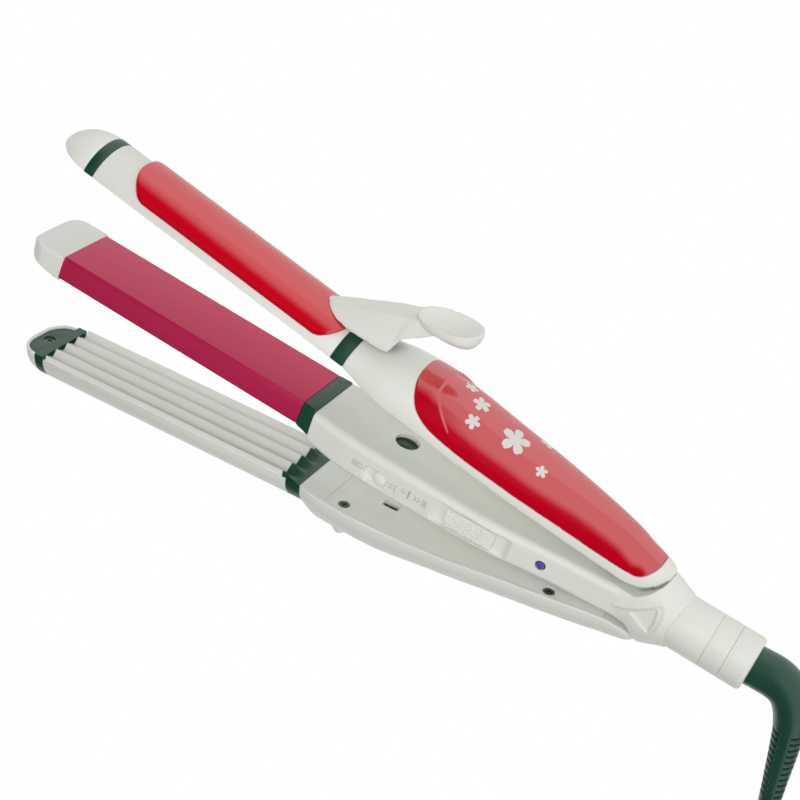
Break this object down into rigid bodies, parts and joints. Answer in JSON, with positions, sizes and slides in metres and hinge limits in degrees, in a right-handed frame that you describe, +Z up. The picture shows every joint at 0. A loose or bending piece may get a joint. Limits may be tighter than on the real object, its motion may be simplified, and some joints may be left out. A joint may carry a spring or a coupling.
{
  "type": "three-arm hair straightener, curler and crimper",
  "caption": "Hair styler with a straightening middle arm, a curling arm with a clamp lever and a crimping arm, sprung open from one neck, with slide switch, arm lock and swivel cord.",
  "frame": {"origin": "centre of the bounding box's base, the cord left out; the part lies on the side away from its switch", "axes": "+X from the cord end to the tips of the arms, +Z up, along the hinge pins, towards the switch side, +Y from the curling arm to the crimping arm"},
  "size_m": [0.5104, 0.1343, 0.0314],
  "materials": {
    "white_shell": "white shell",
    "dark_plastic": "dark plastic",
    "red_gloss": "red gloss",
    "red_enamel": "red enamel",
    "crimson_coating": "crimson coating",
    "white_coating": "white coating",
    "bare_aluminium": "bare aluminium",
    "heater_ceramic": "heater ceramic",
    "steel": "steel",
    "board_green": "board green",
    "lamp_violet": "lamp violet",
    "lead_blue": "lead blue",
    "dark_rubber": "dark rubber",
    "pin_brass": "pin brass"
  },
  "bodies": {
    "middle_arm": {"mid_shell": "white_shell", "mid_cover": "white_shell", "mid_cover_screws": "steel", "press_plate": "crimson_coating", "mid_crimp_plate": "bare_aluminium", "mid_heater": "heater_ceramic", "mid_band": "dark_plastic", "mid_cap": "white_shell", "circuit_board": "board_green", "switch_body": "dark_plastic", "signal_lamp": "lamp_violet", "top_pin": "steel", "low_pin": "steel", "top_arm_spring": "steel", "low_arm_spring": "steel", "mains_leads": "lead_blue", "collar": "white_shell", "collar_ring": "white_shell"},
    "switch": {"switch_knob": "white_shell"},
    "lock": {"lock_slider": "white_shell"},
    "swivel": {"collar_end": "white_shell", "swivel_tube": "steel", "boot": "dark_rubber", "cord": "dark_rubber", "cord_hank": "dark_rubber", "hank_tie": "dark_rubber", "plug": "dark_rubber", "plug_pins": "pin_brass"},
    "curling_arm": {"top_shell": "white_shell", "top_insert": "red_gloss", "top_cover": "white_shell", "top_cover_screws": "steel", "top_barrel": "white_coating", "top_plate": "bare_aluminium", "top_heater": "heater_ceramic", "top_front_ring": "dark_plastic", "top_rear_ring": "dark_plastic", "top_cap": "white_shell", "clamp_pin": "steel", "clamp_spring": "steel"},
    "clamp": {"clamp_blade": "red_enamel", "clamp_lever": "white_shell", "clamp_rivets": "steel"},
    "crimping_arm": {"low_shell": "white_shell", "low_cover": "white_shell", "low_cover_screws": "steel", "low_crimp_plate": "white_coating", "low_barrel": "white_coating", "low_heater": "heater_ceramic", "low_comb": "dark_plastic", "low_ring": "dark_plastic", "low_tip_plate": "dark_plastic", "low_tip_screw": "steel", "low_cap": "white_shell", "low_foot": "white_shell"}
  },
  "joints": [
    {"name": "curling_arm_hinge", "type": "hinge", "parent": "middle_arm", "child": "curling_arm", "pos_m": [-0.1069, -0.00577, 0.0156], "axis": [0, 0, 1], "range_deg": [0, 8.3], "stiffness_Nm_per_rad": 0.5, "springref_deg": -11.46},
    {"name": "crimping_arm_hinge", "type": "hinge", "parent": "middle_arm", "child": "crimping_arm", "pos_m": [-0.1069, 0.00903, 0.0156], "axis": [0, 0, -1], "range_deg": [0, 7.6], "stiffness_Nm_per_rad": 0.5, "springref_deg": -11.46},
    {"name": "clamp_pivot", "type": "hinge", "parent": "curling_arm", "child": "clamp", "pos_m": [0.00801, -0.03673, 0.0156], "axis": [0, 0, -1], "range_deg": [0, 22], "stiffness_Nm_per_rad": 0.15, "springref_deg": -22.92},
    {"name": "switch_slide", "type": "slide", "parent": "middle_arm", "child": "switch", "axis": [0.9984, 0, 0.0566], "range_m": [-0.0028, 0.0028]},
    {"name": "lock_slide", "type": "slide", "parent": "middle_arm", "child": "lock", "axis": [1, 0, 0], "range_m": [0, 0.0036]},
    {"name": "cord_swivel", "type": "hinge", "parent": "middle_arm", "child": "swivel", "pos_m": [-0.1319, 0.00163, 0.0156], "axis": [1, 0, 0], "continuous": true}
  ]
}
